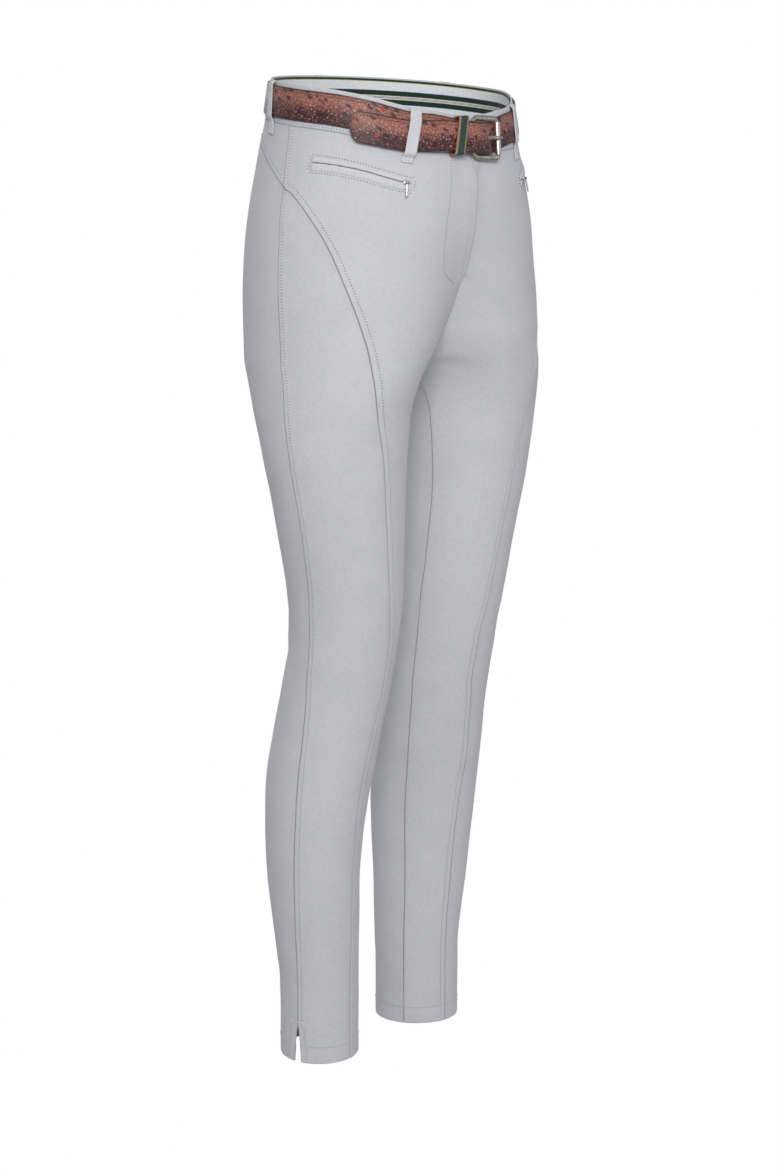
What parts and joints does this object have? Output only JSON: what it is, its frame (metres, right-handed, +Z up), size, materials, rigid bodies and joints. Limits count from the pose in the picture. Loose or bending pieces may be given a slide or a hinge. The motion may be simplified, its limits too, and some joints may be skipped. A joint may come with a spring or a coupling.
{
  "type": "riding breeches with belt",
  "caption": "Full-length riding breeches worn with their own buckled belt: high waistband, curved style seams, zipped welt pockets and slit hems, filled out and hollow.",
  "frame": {"origin": "middle of the waistband, where the wearer holds the garment up", "axes": "+Z up, the front faces -Y, the wearer's left is +X"},
  "size_m": [0.3466, 0.2284, 1.0136],
  "materials": {
    "front_right": "fine pale grey twill, soft sheen",
    "side_front_right": "fine pale grey twill, soft sheen",
    "back_right": "fine pale grey twill, soft sheen",
    "back_yoke_right": "fine pale grey twill, soft sheen",
    "waistband_right": "fine pale grey twill, soft sheen",
    "pocket_welt_upper_right": "fine pale grey twill, soft sheen",
    "pocket_welt_lower_right": "fine pale grey twill, soft sheen",
    "zip_slider_right": "satin nickel",
    "zip_pull_right": "satin nickel",
    "front_left": "fine pale grey twill, soft sheen",
    "side_front_left": "fine pale grey twill, soft sheen",
    "back_left": "fine pale grey twill, soft sheen",
    "back_yoke_left": "fine pale grey twill, soft sheen",
    "waistband_left": "fine pale grey twill, soft sheen",
    "pocket_welt_upper_left": "fine pale grey twill, soft sheen",
    "pocket_welt_lower_left": "fine pale grey twill, soft sheen",
    "zip_slider_left": "satin nickel",
    "zip_pull_left": "satin nickel",
    "waistband_tape": "twill tape with green, white, yellow and blue stripes",
    "belt_loop_front_right": "fine pale grey twill, soft sheen",
    "belt_loop_side_right": "fine pale grey twill, soft sheen",
    "belt_loop_back": "fine pale grey twill, soft sheen",
    "belt_loop_side_left": "fine pale grey twill, soft sheen",
    "belt_loop_front_left": "fine pale grey twill, soft sheen",
    "belt_strap": "embossed leather, tan above and plum brown below, with small red spots",
    "belt_keeper": "dark green leather with a light edge",
    "buckle_frame": "aged nickelled brass",
    "buckle_prong": "aged nickelled brass",
    "buckle_roller": "aged nickelled brass"
  },
  "bodies": {
    "garment": {"front_right": "front_right", "side_front_right": "side_front_right", "back_right": "back_right", "back_yoke_right": "back_yoke_right", "waistband_right": "waistband_right", "pocket_welt_upper_right": "pocket_welt_upper_right", "pocket_welt_lower_right": "pocket_welt_lower_right", "zip_slider_right": "zip_slider_right", "front_left": "front_left", "side_front_left": "side_front_left", "back_left": "back_left", "back_yoke_left": "back_yoke_left", "waistband_left": "waistband_left", "pocket_welt_upper_left": "pocket_welt_upper_left", "pocket_welt_lower_left": "pocket_welt_lower_left", "zip_slider_left": "zip_slider_left", "waistband_tape": "waistband_tape", "belt_loop_front_right": "belt_loop_front_right", "belt_loop_side_right": "belt_loop_side_right", "belt_loop_back": "belt_loop_back", "belt_loop_side_left": "belt_loop_side_left", "belt_loop_front_left": "belt_loop_front_left", "belt_strap": "belt_strap", "belt_keeper": "belt_keeper", "buckle_frame": "buckle_frame", "buckle_prong": "buckle_prong", "buckle_roller": "buckle_roller"},
    "zip_pull_right": {"zip_pull_right": "zip_pull_right"},
    "zip_pull_left": {"zip_pull_left": "zip_pull_left"}
  },
  "joints": [
    {"name": "zip_pull_right_swing", "type": "hinge", "parent": "garment", "child": "zip_pull_right", "pos_m": [-0.08959, -0.099, -0.06385], "axis": [-0.884, 0.4543, 0.1098], "range_deg": [0, 110]},
    {"name": "zip_pull_left_swing", "type": "hinge", "parent": "garment", "child": "zip_pull_left", "pos_m": [0.08959, -0.099, -0.06385], "axis": [-0.884, -0.4543, -0.1098], "range_deg": [0, 110]}
  ]
}
